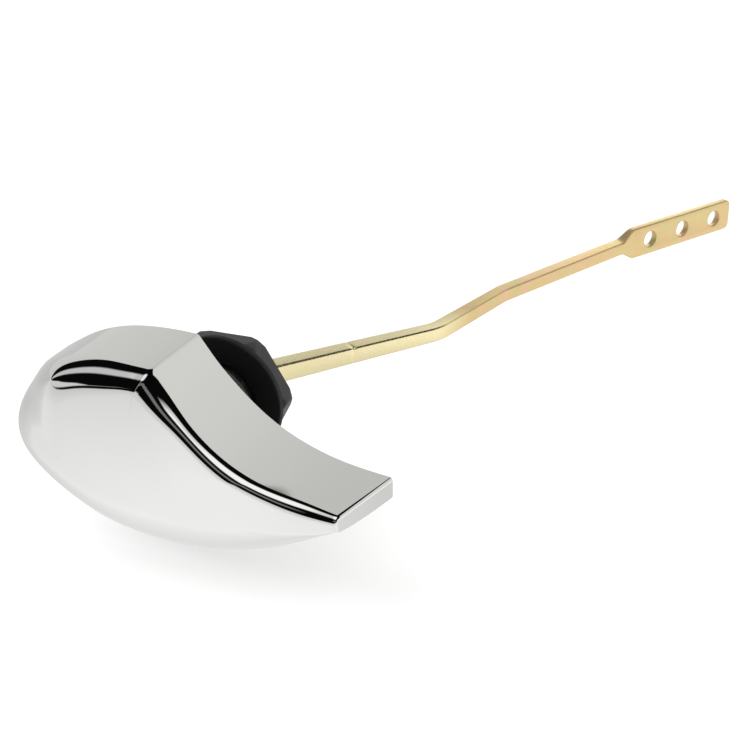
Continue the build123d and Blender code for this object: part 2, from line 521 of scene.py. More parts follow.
@dataclass(frozen=True)
class ChromePlate:
    """Bright chrome on die-cast zinc: mirror outside, dull plating in the hollow."""

    bright: str = "#E4E5E2"
    dull: str = "#A7A8A4"
    dull_light: str = "#BDBEBA"
    mirror_roughness: Point = (0.0245, 0.0455)
    dull_roughness: Point = (0.272, 0.425)
    middle: Point = (0.3, 0.7)
    smear_mm: float = 14.0
    cast_mm: float = 10.0 / 9.0
    ripple_mm: float = 9.0
    ripple_strength: float = 0.06
    ripple_depth: float = 0.2

    def material(self) -> bpy.types.Material:
        """Build the material.

        Returns:
            A mirror with faint smears and buffing ripple, dull where the attribute inside is 1.
        """
        made, tree, shader = started("chrome_plated_die_cast_zinc", 1.0)
        place = add_node(tree, "ShaderNodeTexCoord").outputs["Object"]
        inside = add_node(tree, "ShaderNodeAttribute", attribute_name="inside").outputs["Fac"]
        smear = noise(tree, place, self.smear_mm, 3.0)
        cast = noise(tree, place, self.cast_mm, 4.0)
        polish = spread(tree, smear, self.mirror_roughness, self.middle)
        rough = mixed(tree, inside, polish, spread(tree, cast, self.dull_roughness))
        tree.links.new(rough, shader.inputs["Roughness"])
        grey = ramp(tree, cast, tuple(zip(self.middle, (self.dull, self.dull_light))))
        tone = mixed(tree, inside, linear(self.bright), grey, colours=True)
        tree.links.new(tone, shader.inputs["Base Color"])
        # The ripple left by buffing bends straight reflections a little
        ripple = noise(tree, place, self.ripple_mm, 1.0)
        bumped(tree, shader, ripple, self.ripple_strength, self.ripple_depth)
        return made


@dataclass(frozen=True)
class YellowZinc:
    """Yellow-chromated zinc on forged steel: glossy on the first run and lighter there with painted sheen,
    satin with pink and green beyond.
    """

    gold: str = "#EFD59E"
    rose: str = "#F4D2AC"
    green: str = "#E8D79F"
    # bright is a painted sheen: the lighter tone of the first run stands in for its highlights
    bright: str = "#FBEEBE"
    gloss: Point = (0.156, 0.39)
    satin: Point = (0.416, 0.624)
    gloss_and_painted_sheen_ends: Point = (58.0, 72.0)
    patch_mm: float = 7.0
    patch_roughness: float = 0.6
    patch_distortion: float = 0.6
    streak_mm: float = 0.5
    streak_heading: float = 35.2
    streak_squeeze: float = 0.04
    grain_mm: float = 5.0 / 7.0
    bump_strength: float = 0.25
    bump_depth: float = 0.05

    def material(self) -> bpy.types.Material:
        """Build the material.

        Returns:
            Gold metal whose tint wanders between rose and green, with drawing streaks along the bar and a
            painted sheen, a lighter tone, on the first run.
        """
        made, tree, shader = started("yellow_chromated_zinc_on_steel", 1.0)
        place = add_node(tree, "ShaderNodeTexCoord").outputs["Object"]
        film = noise(tree, place, self.patch_mm, 3.0, Roughness=self.patch_roughness,
                     Distortion=self.patch_distortion)
        tint = ramp(tree, film, ((0.34, self.green), (0.66, self.rose), (0.5, self.gold)))
        reach = add_node(tree, "ShaderNodeSeparateXYZ", {"Vector": place}).outputs["Y"]
        # The first run is glossier, the bar's own finish, and lighter in tone, which is painted sheen
        start, end = self.gloss_and_painted_sheen_ends
        first = spread(tree, reach, (1.0, 0.0), (start * MM, end * MM))
        tone = mixed(tree, first, tint, linear(self.bright), colours=True)
        tree.links.new(tone, shader.inputs["Base Color"])
        # Drawing streaks run with the first run of the bar, so the pattern is stretched that way
        along = add_node(tree, "ShaderNodeMapping",
                         {"Vector": place, "Rotation": (0.0, 0.0, math.radians(self.streak_heading)),
                          "Scale": (1.0, self.streak_squeeze, 1.0)})
        streak = noise(tree, along.outputs["Vector"], self.streak_mm, 2.0)
        grain = noise(tree, place, self.grain_mm, 3.0)
        rough = mixed(tree, first, spread(tree, grain, self.satin), spread(tree, streak, self.gloss))
        tree.links.new(rough, shader.inputs["Roughness"])
        bumped(tree, shader, mixed(tree, first, grain, streak), self.bump_strength, self.bump_depth)
        return made


@dataclass(frozen=True)
class MouldedPlastic:
    """Moulded thermoplastic with a fine spark-eroded grain and slight flow marks."""

    name: str
    dark: str
    pale: str
    roughness: float
    unevenness: float = 0.2
    grain_mm: float = 0.5
    grain_strength: float = 0.3
    grain_depth: float = 0.04
    flow_mm: float = 6.0
    flow_distortion: float = 0.8

    def material(self) -> bpy.types.Material:
        """Build the material.

        Returns:
            A dielectric with mottled colour and a fine grain.
        """
        made, tree, shader = started(self.name, 0.0)
        place = add_node(tree, "ShaderNodeTexCoord").outputs["Object"]
        flow = noise(tree, place, self.flow_mm, 3.0, Distortion=self.flow_distortion)
        tone = ramp(tree, flow, ((0.3, self.dark), (0.72, self.pale)))
        tree.links.new(tone, shader.inputs["Base Color"])
        grain = noise(tree, place, self.grain_mm, 3.0)
        limits = (self.roughness * (1.0 - self.unevenness), self.roughness * (1.0 + self.unevenness))
        tree.links.new(spread(tree, grain, limits), shader.inputs["Roughness"])
        bumped(tree, shader, grain, self.grain_strength, self.grain_depth)
        return made


@dataclass
class Walls:
    """Samples along the paddle's walls: points at the rim, points at the front and heights of the roll."""

    rim: np.ndarray
    front: np.ndarray
    drop: np.ndarray


@dataclass
class PaddleHandle:
    """Hollow die-cast paddle with its boss, square socket and ribs."""

    finish: ChromePlate
    depth: float = 21.4
    front_lean: float = 8.0
    front_bow: float = 1.95
    bow_end: float = 42.0
    bow_foot: float = -14.0
    rim_y: float = -2.8
    wall: float = 2.6
    tip_x: float = 48.0
    tip_round: float = 0.9
    tip_rake: float = 9.0
    rake_start: float = 22.0
    hollow_end: float = 33.0
    boss_radius: float = 6.5
    socket_side: float = 4.3
    socket_depth: float = 13.5
    rib_thickness: float = 2.2
    rib_edge: float = 5.0
    rib_angles: tuple[float, ...] = (75.0, 168.0, 345.0, 293.87, 216.13)
    samples: int = 520
    roll_rows: int = 36
    # Sampling: steps of the tip's rounding, of the hollow's end wall and of a rib, and places across the face
    tip_steps: int = 6
    end_steps: int = 12
    rib_steps: int = 12
    hollow_rows: int = 14
    face_places: tuple[float, ...] = (0.0, 0.02, 0.08, 0.2, 0.35, 0.5, 0.65, 0.8, 0.92, 0.98, 1.0)
    fine_samples: int = 8000
    crest_density: float = 9.0
    crest_reach: float = 2.5
    # How far before the lobe the roll starts to leave the square, and the least roll of the hollow
    square_fade: float = 8.0
    least_roll: float = 1.2
    end_roll: float = 1.4
    # How far ribs and boss reach into what they meet
    rib_into_wall: float = 1.04
    rib_into_floor: float = 0.8
    rib_into_boss: float = 1.5
    boss_into_floor: float = 1.2
    boss_edge: float = 0.4
    socket_corner: float = 0.2
    socket_flare: float = 1.08
    flare_depth: float = 0.2

    # Top line from the tip over the crest to the lobe: x, z and how far the edge rolls in to the front
    top_nodes: tuple[tuple[float, float, float], ...] = (
        (47.1, -3.75, 2.0), (40.0, -3.24, 2.7), (32.8, -2.08, 2.9), (25.8, 0.04, 2.9), (19.2, 3.13, 3.0),
        (13.2, 7.31, 3.1), (8.8, 11.21, 3.5), (5.7, 14.3, 4.3), (3.8, 16.5, 4.8), (2.3, 18.39, 5.0),
        (1.3, 19.65, 5.0), (0.81, 20.27, 5.0), (0.464, 20.54, 5.0), (0.03, 20.64, 5.0), (-0.6, 20.655, 5.0),
        (-1.6, 20.66, 5.0), (-4.0, 20.64, 5.2), (-8.5, 20.38, 6.0), (-14.5, 19.64, 6.8), (-20.3, 18.2, 7.6),
        (-25.9, 15.9, 8.6))
    crest_node: int = 12
    # Where the two sides of the crest would meet, and the way of its mitre for each millimetre in from them
    crest_corner: Point = (0.51, 20.64)
    crest_way: Point = (-0.481, -0.998)
    crest_roll: float = 5.0
    crest_span: float = 6.0
    # Round the left end and along the belly to the tip: x and z at the rim, x and z at the front
    belly_nodes: tuple[tuple[float, float, float, float], ...] = (
        (-32.3, 12.0, -24.6, 1.0), (-37.6, 7.85, -25.0, -5.5), (-41.5, 3.25, -25.4, -7.6),
        (-44.4, -0.9, -25.3, -9.2), (-45.9, -5.6, -24.6, -10.2), (-45.5, -8.9, -23.6, -10.9),
        (-43.1, -13.2, -22.2, -11.5), (-38.1, -18.7, -20.3, -12.1), (-30.4, -24.6, -16.8, -13.1),
        (-22.3, -28.9, -12.5, -13.8), (-12.2, -31.4, -6.0, -13.95), (-2.0, -31.9, 0.5, -13.9),
        (10.5, -30.0, 9.0, -13.6), (22.0, -25.75, 16.5, -13.0), (31.0, -20.95, 27.4, -11.4),
        (39.5, -15.25, 38.1, -9.8), (44.8, -11.1, 44.4, -8.4), (47.1, -9.2, 47.1, -7.2))
    left_drops: tuple[float, ...] = (12.5, 18.2, 20.7)

    def mitred(self, points: np.ndarray, inward: np.ndarray, side: np.ndarray, distance: float) -> np.ndarray:
        """End the lines of both sides of the crest at its mitre, so that they don't cross.

        Args:
            points: Points a distance in from the outline.
            inward: Inward normals of the outline.
            side: 1 before the crest, -1 after it and 0 away from it.
            distance: How far in the points are.

        Returns:
            The points, those past the mitre moved on to it.
        """
        mitre = np.array(self.crest_corner) + np.array(self.crest_way) * distance
        ahead = np.column_stack((inward[:, 1], -inward[:, 0]))
        past = np.sum((points - mitre) * ahead, axis=1) * side
        return np.where((past > 0.0)[:, None], mitre, points)

    def outline(self) -> tuple[Walls, np.ndarray, np.ndarray]:
        """Sample the paddle's outline from the tip's top over the crest and under to the tip's bottom.

        Returns:
            The walls, their inward normals, and 1 before the crest, -1 after it and 0 away from it.
        """
        top, belly = np.array(self.top_nodes), np.array(self.belly_nodes)
        rim = np.vstack((top[:, :2], belly[:, :2]))
        line = SmoothLine(rim)
        front = np.vstack((top[:, :2] + line.inward(line.stations)[:len(top)] * top[:, 2:], belly[:, 2:]))
        drops = np.concatenate((top[:, 2], np.full(len(belly), self.depth)))
        drops[len(top):len(top) + len(self.left_drops)] = self.left_drops
        full = SmoothLine(np.column_stack((rim, front, drops)))
        # Samples are closer where the outline turns over the crest
        fine = np.linspace(0.0, full.stations[-1], self.fine_samples)
        crest = full.stations[self.crest_node]
        weight = np.cumsum(1.0 + self.crest_density * np.exp(-((fine - crest) / self.crest_reach) ** 2))
        places = np.interp(np.linspace(weight[0], weight[-1], self.samples), weight, fine)
        rows = full.at(places)
        rim, front, drop = rows[:, :2], rows[:, 2:4], np.clip(rows[:, 4], 1.0, self.depth)
        # On the top line the edge rolls in square to it, and both sides of the crest end at its mitre
        inward = full.inward(places)
        square = np.clip((full.stations[len(top) - 1] - places) / self.square_fade, 0.0, 1.0)[:, None]
        front = front * (1.0 - square) + (rim + inward * drop[:, None]) * square
        side = np.where(np.abs(places - crest) < self.crest_span, np.sign(crest - places), 0.0)
        return Walls(rim, self.mitred(front, inward, side, self.crest_roll), drop), inward, side

    def raked(self, points: np.ndarray) -> np.ndarray:
        """Place points, leaning the front out at the top and the tip back towards the front.

        Args:
            points: Array with x, the distance from the rim towards an upright front, and z on its last axis.

        Returns:
            Array with x, y and z on its last axis.
        """
        x, reach, z = np.moveaxis(points, -1, 0)
        bow = self.front_bow * np.sin(math.pi * np.clip(x / self.bow_end, 0.0, 1.0)) ** 2
        bow = bow * np.clip(1.0 - z / self.bow_foot, 0.0, 1.0)
        reach = reach * (1.0 + (z * math.tan(math.radians(self.front_lean)) + bow) / self.depth)
        share = np.clip((x - self.rake_start) / (self.tip_x - self.rake_start), 0.0, 1.0)
        lean = reach * math.tan(math.radians(self.tip_rake)) * smooth_step(share)
        return np.stack((x - lean, self.rim_y - reach, z), axis=-1)

    def rolled(self, walls: Walls, depth: np.ndarray, rows: int) -> np.ndarray:
        """Walls that rise from the rim and roll in to the front.

        Args:
            walls: Walls to roll.
            depth: Depth of the front at each sample.
            rows: Rows of the rolled part.

        Returns:
            Samples by rows by x, reach and z.
        """
        turn = np.linspace(0.0, math.pi / 2.0, rows)
        share = np.concatenate(([0.0, 0.0], 1.0 - np.cos(turn)))
        plan = walls.rim[:, None, :] + (walls.front - walls.rim)[:, None, :] * share[None, :, None]
        wall = (depth - walls.drop)[:, None] * np.concatenate(([0.0, 0.5], np.ones(rows)))[None, :]
        reach = wall + walls.drop[:, None] * np.concatenate(([0.0, 0.0], np.sin(turn)))[None, :]
        return np.stack((plan[..., 0], reach, plan[..., 1]), axis=-1)

    def outside(self, skin: Skin) -> tuple[np.ndarray, np.ndarray]:
        """Build the outside with its rounded tip.

        Args:
            skin: Skin that takes it.

        Returns:
            Point numbers along the rim, and those across the tip at the rim from below to above.
        """
        walls, _, _ = self.outline()
        rim, front, drop = walls.rim, walls.front, walls.drop
        turn = np.linspace(0.0, math.pi / 2.0, self.tip_steps + 1)[1:]
        inset = self.tip_round * (1.0 - np.cos(turn))
        step = self.tip_round * np.sin(turn)
        level = np.ones(self.tip_steps)
        above = np.column_stack((rim[0, 0] + step, rim[0, 1] - inset))
        below = np.column_stack((rim[-1, 0] + step, rim[-1, 1] + inset))
        above_front = np.column_stack((front[0, 0] + step, front[0, 1] * level))
        below_front = np.column_stack((front[-1, 0] + step, front[-1, 1] * level))
        depth = np.concatenate((self.depth - inset[::-1], np.full(len(drop), self.depth), self.depth - inset))
        whole = Walls(np.vstack((above[::-1], rim, below)),
                      np.vstack((above_front[::-1], front, below_front)),
                      np.concatenate((drop[0] - inset[::-1] / 2.0, drop, self.depth - inset)))
        rows = self.rolled(whole, depth, self.roll_rows)
        numbers = skin.add(self.raked(rows))
        skin.grid(numbers)
        across = np.array(self.face_places)[:, None, None]
        half = len(rows) // 2
        upper, lower = rows[:half, -1], rows[::-1, -1][:half]
        face = np.moveaxis(upper[None] * (1.0 - across) + lower[None] * across, 0, 1)
        skin.grid(skin.add(self.raked(face)))
        end = np.moveaxis(rows[:1] * (1.0 - across) + rows[-1:] * across, 0, 1)
        end_numbers = skin.add(self.raked(end))
        skin.grid(end_numbers)
        return numbers[:, 0], end_numbers[0, ::-1]

    def hollow(self, skin: Skin, outer_rim: np.ndarray, tip: np.ndarray) -> Walls:
        """Build the hollow and the rim that joins it to the outside.

        Args:
            skin: Skin that takes it.
            outer_rim: Point numbers of the outside along the rim.
            tip: Point numbers across the tip at the rim.

        Returns:
            Walls of the hollow.
        """
        walls, inward, side = self.outline()
        floor = self.depth - self.wall
        roll = walls.front - walls.rim
        length = np.linalg.norm(roll, axis=1)[:, None]
        rim = self.mitred(walls.rim + inward * self.wall, inward, side, self.wall)
        front = rim + roll / length * np.maximum(length - self.wall, self.least_roll)
        front[side != 0.0] = walls.front[side != 0.0]
        drop = np.clip(walls.drop - self.wall, self.least_roll, floor)
        kept = np.where(rim[:, 0] <= self.hollow_end)[0]
        first, last = kept[0], kept[-1]
        rim, front, drop = rim[first:last + 1], front[first:last + 1], drop[first:last + 1]
        foot = self.hollow_end - self.end_roll
        front[:, 0] = np.minimum(front[:, 0], foot)
        share = np.linspace(0.0, 1.0, self.end_steps + 2)[1:-1, None]
        back = rim[-1] * (1.0 - share) + rim[0] * share
        back_front = np.column_stack((np.full(self.end_steps, foot),
                                      np.clip(back[:, 1], front[-1, 1], front[0, 1])))
        # Below the front's edge the end wall follows the belly's roll, so that it stays inside the shell
        back_drop = np.where(back[:, 1] < front[-1, 1], drop[-1], self.end_roll)
        loop = Walls(np.vstack((rim, back)), np.vstack((front, back_front)),
                     np.concatenate((drop, back_drop)))
        rows = self.rolled(loop, np.full(len(loop.rim), floor), self.hollow_rows)
        numbers = skin.add(self.raked(rows), 1.0)
        skin.grid(numbers, round_rows=True)
        skin.cap(numbers[:, -1])
        # The rim is a strip along the walls and one face round the solid tip
        inner_rim, count = numbers[:, 0], len(rim)
        outer = outer_rim[self.tip_steps:-self.tip_steps]
        skin.grid(np.column_stack((outer[first:last + 1], inner_rim[:count])))
        skin.cap(np.concatenate((outer[last:], outer_rim[-self.tip_steps:], tip[1:-1],
                                 outer_rim[:self.tip_steps], outer[:first + 1], inner_rim[:1],
                                 inner_rim[:count - 2:-1])))
        return loop

    def rib(self, skin: Skin, angle: float, hollow: Walls) -> None:
        """Build one rib from the boss into the wall.

        Args:
            skin: Skin that takes it.
            angle: Direction of the rib in degrees from the right.
            hollow: Walls of the hollow.
        """
        floor = self.depth - self.wall
        way = np.array((math.cos(math.radians(angle)), math.sin(math.radians(angle))))
        side = np.array((-way[1], way[0]))
        ends: list[Point] = []
        for reach in np.linspace(self.rib_edge, floor - 0.01, self.rib_steps):
            lift = np.clip((reach - (floor - hollow.drop)) / hollow.drop, 0.0, 1.0)
            plan = hollow.rim + (hollow.front - hollow.rim) * (1.0 - np.sqrt(1.0 - lift ** 2))[:, None]
            after = np.roll(plan, -1, axis=0)
            a, b = plan @ side, after @ side
            crossing = np.where((a * b <= 0.0) & (a != b))[0]
            share = a[crossing] / (a[crossing] - b[crossing])
            radii = (plan[crossing] * (1.0 - share)[:, None] + after[crossing] * share[:, None]) @ way
            ends.append((min(r for r in radii if r > 0.0) + self.rib_into_wall, reach))
        foot, root = floor + self.rib_into_floor, self.boss_radius - self.rib_into_boss
        out, reach = np.array([(root, self.rib_edge)] + ends + [(ends[-1][0], foot), (root, foot)]).T
        sheets = [np.column_stack((out * way[0] + s * side[0], reach, out * way[1] + s * side[1]))
                  for s in (-self.rib_thickness / 2.0, self.rib_thickness / 2.0)]
        skin.tube(self.raked(np.stack(sheets)), 1.0)

    def boss(self, skin: Skin) -> None:
        """Build the boss with its square socket.

        Args:
            skin: Skin that takes it.
        """
        square = rounded_box(self.socket_side, self.socket_side, self.socket_corner, 9)
        dense = np.concatenate([np.linspace(a, b, 4, endpoint=False)
                                for a, b in zip(square, np.roll(square, -1, axis=0))])
        level = np.full(len(dense), self.rim_y)
        mouth = np.column_stack((dense[:, 0], level, dense[:, 1]))
        turn = np.arctan2(dense[:, 1], dense[:, 0])
        rim = np.column_stack((np.cos(turn), level, np.sin(turn)))
        deep = self.wall - self.depth - self.boss_into_floor
        profile = ((self.boss_radius, deep), (self.boss_radius, -self.boss_edge),
                   (self.boss_radius - self.boss_edge, 0.0))
        rows = [rim * (radius, 1.0, radius) + (0.0, y, 0.0) for radius, y in profile]
        rows.append(mouth * (self.socket_flare, 1.0, self.socket_flare))
        rows += [mouth - (0.0, drop, 0.0) for drop in (self.flare_depth, self.socket_depth)]
        skin.tube(np.stack(rows), 1.0)

    def build(self) -> bpy.types.Object:
        """Build and dress the handle.

        Returns:
            The piece.
        """
        shell = Skin()
        outer_rim, tip = self.outside(shell)
        hollow = self.hollow(shell, outer_rim, tip)
        inner = Skin()
        self.boss(inner)
        for angle in self.rib_angles:
            self.rib(inner, angle, hollow)
        mesh = join([shell.mesh("paddle_shell"), inner.mesh("paddle_ribs")], "paddle")
        return settle(mesh, ("handle",), Body.LEVER, self.finish.material(), 28.0)


@dataclass
class LiftArm:
    """Forged arm: tang, journal, tapering square bar with bends, and a flat blade with three holes."""

    finish: YellowZinc
    tang_side: float = 4.2
    tang_end: float = -15.8
    rim_y: float = -2.8
    journal_radius: float = 3.0
    bar_start: float = 16.3
    first_corner: float = 18.0
    runs: tuple[float, ...] = (52.0, 28.5, 44.5)
    headings: tuple[float, ...] = (35.2, 12.0, 22.0, 27.5)
    bend_radii: tuple[float, ...] = (5.0, 12.0, 12.0, 14.0)
    sides: tuple[float, ...] = (4.8, 3.7, 3.4, 3.4)
    bar_corner: float = 0.55
    witness_at: float = 27.6
    witness_depth: float = 0.09
    # Rings about the witness line: how far along from it, and their share of its depth
    witness_rings: tuple[Point, ...] = (
        (-1.2, 0.0), (-0.35, 0.0), (-0.15, 1.0), (0.15, 1.0), (0.35, 0.0), (1.2, 0.0))
    bend_steps: int = 14
    corner_steps: int = 5
    blade_length: float = 43.0
    blade_width: float = 8.6
    blade_thickness: float = 2.0
    blade_corner: float = 1.6
    neck_start: float = 0.7
    neck_length: float = 5.5
    hole_radius: float = 2.25
    hole_pitch: float = 12.4
    hole_margin: float = 6.2
    hole_count: int = 3
    hole_steps: int = 48
    plate_corner_steps: int = 10
    neck_rows: int = 15
    edge: float = 0.3
    bar_edge_more: float = 0.1
    overlap: float = 0.6
    tang_point: Point = (0.8, 0.5)
    tang_corner: float = 0.3
    journal_edge: float = 0.3
    shoulder_edge: float = 0.2
    crisp_angle: float = 50.0
    crisp_from: float = 0.5
    plate_overlap: float = 0.4

    def way(self, heading: float) -> np.ndarray:
        """Unit vector in plan for a heading from the spindle towards the right."""
        return np.array((math.sin(math.radians(heading)), math.cos(math.radians(heading)), 0.0))

    def corners(self) -> list[np.ndarray]:
        """Corners of the bar's middle line in plan."""
        found = [np.array((0.0, self.first_corner, 0.0))]
        for length, heading in zip(self.runs, self.headings):
            found.append(found[-1] + self.way(heading) * length)
        return found

    def tree(self, material: bpy.types.Material) -> bpy.types.NodeTree:
        """Geometry tree that runs a rounded square bar along a bent path.

        Args:
            material: Material of the bar.

        Returns:
            The tree, with an input for the rounding of the bar's edges.
        """
        tree, given = growing_tree("bar_along_path", "Path", ("Edge rounding",))
        line = add_node(tree, "GeometryNodeMeshToCurve", {"Mesh": given.outputs["Path"]})
        bend, side = [add_node(tree, "GeometryNodeInputNamedAttribute", {"Name": name}, data_type="FLOAT")
                      for name in ("bend_radius", "side")]
        bent = add_node(tree, "GeometryNodeFilletCurve",
                        {"Curve": line.outputs["Curve"], "Count": self.bend_steps,
                         "Radius": bend.outputs["Attribute"], "Limit Radius": True}, mode="POLY")
        level = add_node(tree, "GeometryNodeSetCurveNormal", {"Curve": bent.outputs["Curve"]}, mode="Z_UP")
        square = add_node(tree, "GeometryNodeCurvePrimitiveQuadrilateral", {"Width": 1.0, "Height": 1.0})
        rounded = add_node(tree, "GeometryNodeFilletCurve",
                           {"Curve": square.outputs["Curve"], "Count": self.corner_steps,
                            "Radius": given.outputs["Edge rounding"], "Limit Radius": True}, mode="POLY")
        bar = add_node(tree, "GeometryNodeCurveToMesh",
                       {"Curve": level.outputs["Curve"], "Profile Curve": rounded.outputs["Curve"],
                        "Scale": side.outputs["Attribute"], "Fill Caps": True})
        end_tree(tree, bar.outputs["Mesh"], material)
        return tree

    def bar(self, material: bpy.types.Material) -> bpy.types.Mesh:
        """Build the bent bar.

        Args:
            material: Material of the bar.

        Returns:
            Mesh of the bar.
        """
        corners = self.corners()
        end = corners[-1] + self.way(self.headings[-1]) * (self.neck_start + self.overlap)
        taper = (self.sides[1] - self.sides[0]) / self.runs[0]
        witness, groove = [], ()
        for step, share in self.witness_rings:
            place = self.witness_at + step
            witness.append(corners[0] + self.way(self.headings[0]) * place)
            groove += (self.sides[0] + taper * place - 2.0 * self.witness_depth * share,)
        path = [np.array((0.0, self.bar_start, 0.0)), corners[0]] + witness + corners[1:] + [end]
        bends = (0.0, self.bend_radii[0]) + (0.0,) * len(groove) + self.bend_radii[1:] + (0.0,)
        sides = (self.sides[0], self.sides[0]) + groove + self.sides[1:] + (self.sides[-1],)
        base = bpy.data.meshes.new("arm_path")
        base.from_pydata([tuple(p * MM) for p in path], [(i, i + 1) for i in range(len(path) - 1)], [])
        for name, values in (("bend_radius", bends), ("side", sides)):
            base.attributes.new(name, "FLOAT", "POINT").data.foreach_set("value", [v * MM for v in values])
        return grown(self.tree(material), base, {"Edge rounding": self.bar_corner / self.sides[0]}, "arm_bar")

    def neck(self, start: np.ndarray, along: np.ndarray, side: np.ndarray) -> bpy.types.Mesh:
        """Build the run where the square bar turns into the flat blade.

        Args:
            start: Where the last run starts.
            along: Way of the last run.
            side: Way square to it in plan.

        Returns:
            Mesh of the neck.
        """
        rows = []
        for share in np.linspace(0.0, 1.0, self.neck_rows):
            ease = smooth_step(share)
            thickness = self.sides[-1] * (1.0 - ease) + self.blade_thickness * ease
            width = self.sides[-1] * (1.0 - ease) + self.blade_width * ease
            outline = rounded_box(thickness, width, self.edge + self.bar_edge_more * (1.0 - ease))
            middle = start + along * (self.neck_start + self.neck_length * share)
            rows.append(middle + outline[:, :1] * side + outline[:, 1:] * UP)
        skin = Skin()
        skin.tube(np.stack(rows))
        return skin.mesh("arm_neck")

    def plate_loops(self, near: float) -> list[np.ndarray]:
        """Outline of the flat blade and of its holes.

        Args:
            near: Where the outline starts along the last run.

        Returns:
            Loops of places along the blade and heights.
        """
        corner, half = self.blade_corner, self.blade_width / 2.0
        turn = np.linspace(0.0, math.pi / 2.0, self.plate_corner_steps)
        foot, head = corner - half, half - corner
        low = np.column_stack((corner * np.sin(turn), foot - corner * np.cos(turn)))
        high = np.column_stack((corner * np.cos(turn), head + corner * np.sin(turn)))
        bend = np.vstack((low, high)) + (self.blade_length - corner, 0.0)
        loops = [np.vstack(((near, -half), bend, (near, half)))]
        for hole in range(self.hole_count):
            middle = self.blade_length - self.hole_margin - hole * self.hole_pitch
            loops.append(ring(self.hole_radius, 0.0, self.hole_steps)[:, ::2] + (middle, 0.0))
        return loops

    def plate(self, start: np.ndarray, along: np.ndarray, side: np.ndarray) -> bpy.types.Mesh:
        """Build the flat blade with its holes.

        Args:
            start: Where the last run starts.
            along: Way of the last run.
            side: Way square to it in plan.

        Returns:
            Mesh of the flat blade.
        """
        near = self.neck_start + self.neck_length - self.plate_overlap
        plate = bmesh.new()
        edges = []
        for loop in self.plate_loops(near):
            spots = [plate.verts.new((start + along * u + UP * v - side * self.blade_thickness / 2.0) * MM)
                     for u, v in loop]
            edges += [plate.edges.new(pair) for pair in zip(spots, spots[1:] + spots[:1])]
        bmesh.ops.triangle_fill(plate, use_beauty=True, use_dissolve=False, edges=edges)
        lifted = bmesh.ops.extrude_face_region(plate, geom=plate.faces[:], use_keep_orig=True)
        moved = [v for v in lifted["geom"] if isinstance(v, bmesh.types.BMVert)]
        bmesh.ops.translate(plate, vec=Vector(side * self.blade_thickness * MM), verts=moved)
        bmesh.ops.recalc_face_normals(plate, faces=plate.faces)
        crisp = [e for e in plate.edges
                 if e.is_manifold and e.calc_face_angle() > math.radians(self.crisp_angle)
                 and any((Vector(start * MM) - v.co).length > (near + self.crisp_from) * MM for v in e.verts)]
        bmesh.ops.bevel(plate, geom=crisp, offset=self.edge * MM, segments=3, profile=0.5, affect="EDGES")
        mesh = bpy.data.meshes.new("arm_plate")
        plate.to_mesh(mesh)
        plate.free()
        return mesh

    def blade(self) -> bpy.types.Mesh:
        """Build the neck and the flat blade.

        Returns:
            Mesh of both.
        """
        along, start = self.way(self.headings[-1]), self.corners()[-1]
        side = np.array((along[1], -along[0], 0.0))
        return join([self.neck(start, along, side), self.plate(start, along, side)], "arm_blade")

    def root(self) -> bpy.types.Mesh:
        """Build the square tang and the round journal.

        Returns:
            Mesh of both.
        """
        skin = Skin()
        square = rounded_box(self.tang_side, self.tang_side, self.tang_corner)
        share, point = self.tang_point
        stations = ((share, self.tang_end), (1.0, self.tang_end + point),
                    (1.0, self.rim_y + self.journal_edge))
        skin.tube(np.stack([np.column_stack((square[:, 0] * s, np.full(len(square), y), square[:, 1] * s))
                            for s, y in stations]))
        radius, edge = self.journal_radius, self.journal_edge
        profile = ((radius - edge, self.rim_y), (radius, self.rim_y + edge),
                   (radius, self.bar_start - self.shoulder_edge),
                   (radius - self.shoulder_edge, self.bar_start + edge))
        skin.tube(np.stack([ring(r, y, 64) for r, y in profile]))
        return skin.mesh("arm_root")

    def build(self) -> bpy.types.Object:
        """Build and dress the arm.

        Returns:
            The piece.
        """
        material = self.finish.material()
        mesh = join([self.root(), self.bar(material), self.blade()], "arm")
        return settle(mesh, ("arm", "blade"), Body.LEVER, material)


